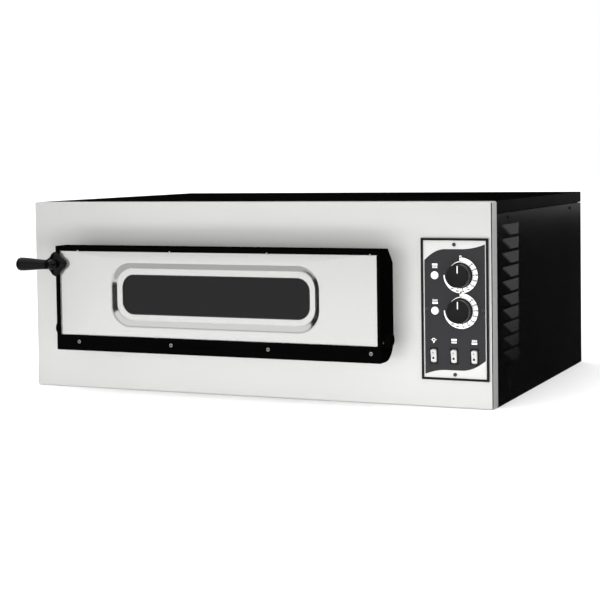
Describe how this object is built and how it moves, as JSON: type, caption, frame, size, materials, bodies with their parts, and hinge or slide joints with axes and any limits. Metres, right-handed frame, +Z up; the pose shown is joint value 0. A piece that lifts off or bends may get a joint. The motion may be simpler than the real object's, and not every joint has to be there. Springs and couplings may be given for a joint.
{
  "type": "deck oven",
  "caption": "Single-deck electric pizza oven: black cabinet, stainless front, drop-down glazed door, dial and rocker controls.",
  "frame": {"origin": "centre of the flat base, on the surface that the oven rests on, midway between facade and rear panel", "axes": "+X to the right seen from the front, -Y to the front (door side), +Z up"},
  "size_m": [0.924, 0.7585, 0.355],
  "materials": {
    "black_paint": "satin black powder coat",
    "stainless": "brushed stainless steel",
    "inner_steel": "dull aluminised steel",
    "gasket_rope": "woven glass rope",
    "stone": "cordierite baking stone",
    "element_sheath": "oxidised steel sheath",
    "mineral_wool": "mineral wool",
    "clear_glass": "clear",
    "smoked_glass": "dark tempered glass",
    "thermostat_case": "phenolic body",
    "copper": "copper bulb",
    "black_plastic": "black moulded plastic",
    "printed_plate": "printed plate",
    "dark_screw": "blackened steel",
    "lamp_lens": "milky lens",
    "wire": "silicone insulated leads",
    "brass": "brass",
    "seal_rubber": "silicone seal",
    "zinc_screw": "zinc plated steel",
    "handle_plastic": "glossy black phenolic",
    "grey_plastic": "light grey plastic"
  },
  "bodies": {
    "oven": {"base_panel": "black_paint", "left_side_panel": "black_paint", "right_side_panel": "black_paint", "rear_panel": "black_paint", "top_cover": "black_paint", "front_facade": "stainless", "control_bulkhead": "inner_steel", "chamber_shell": "inner_steel", "mouth_frame": "inner_steel", "mouth_gasket": "gasket_rope", "left_stone": "stone", "right_stone": "stone", "stone_rails": "inner_steel", "top_elements": "element_sheath", "bottom_elements": "element_sheath", "element_clips": "inner_steel", "top_insulation": "mineral_wool", "bottom_insulation": "mineral_wool", "side_insulation": "mineral_wool", "lamp_holder": "inner_steel", "lamp_bulb": "clear_glass", "lamp_glass": "clear_glass", "upper_thermostat": "thermostat_case", "lower_thermostat": "thermostat_case", "sensing_bulbs": "copper", "control_frame": "black_plastic", "control_plate": "printed_plate", "control_screws": "dark_screw", "upper_pilot_lamp": "lamp_lens", "lower_pilot_lamp": "lamp_lens", "switch_housings": "black_plastic", "terminal_block": "thermostat_case", "wiring": "wire", "cable_gland": "black_plastic", "earth_stud": "brass", "case_screws": "black_paint", "hinge_brackets": "inner_steel", "hinge_pins": "black_paint", "friction_washers": "brass"},
    "door": {"door_skin": "stainless", "door_inner_pan": "inner_steel", "door_insulation": "mineral_wool", "door_top_rim": "black_paint", "door_bottom_strip": "black_paint", "left_cheek": "black_paint", "right_cheek": "black_paint", "outer_glass": "smoked_glass", "inner_glass": "smoked_glass", "window_seal": "seal_rubber", "door_screws": "zinc_screw", "hinge_bushes": "brass", "handle_hub": "handle_plastic", "handle_grip": "handle_plastic"},
    "upper_dial": {"upper_knob": "black_plastic", "upper_shaft": "inner_steel"},
    "lower_dial": {"lower_knob": "black_plastic", "lower_shaft": "inner_steel"},
    "lamp_switch": {"lamp_rocker": "grey_plastic"},
    "top_heat_switch": {"top_heat_rocker": "grey_plastic"},
    "bottom_heat_switch": {"bottom_heat_rocker": "grey_plastic"}
  },
  "joints": [
    {"name": "door_hinge", "type": "hinge", "parent": "oven", "child": "door", "pos_m": [-0.04575, -0.3625, 0.1185], "axis": [1, 0, 0], "range_deg": [0, 90]},
    {"name": "upper_dial_turn", "type": "hinge", "parent": "oven", "child": "upper_dial", "pos_m": [0.4018, -0.3325, 0.229], "axis": [0, 1, 0], "range_deg": [0, 285]},
    {"name": "lower_dial_turn", "type": "hinge", "parent": "oven", "child": "lower_dial", "pos_m": [0.4018, -0.3325, 0.168], "axis": [0, 1, 0], "range_deg": [0, 285]},
    {"name": "lamp_switch_rock", "type": "hinge", "parent": "oven", "child": "lamp_switch", "pos_m": [0.3526, -0.323, 0.0898], "axis": [-1, 0, 0], "range_deg": [0, 18]},
    {"name": "top_heat_switch_rock", "type": "hinge", "parent": "oven", "child": "top_heat_switch", "pos_m": [0.389, -0.323, 0.0898], "axis": [-1, 0, 0], "range_deg": [0, 18]},
    {"name": "bottom_heat_switch_rock", "type": "hinge", "parent": "oven", "child": "bottom_heat_switch", "pos_m": [0.4254, -0.323, 0.0898], "axis": [-1, 0, 0], "range_deg": [0, 18]}
  ]
}
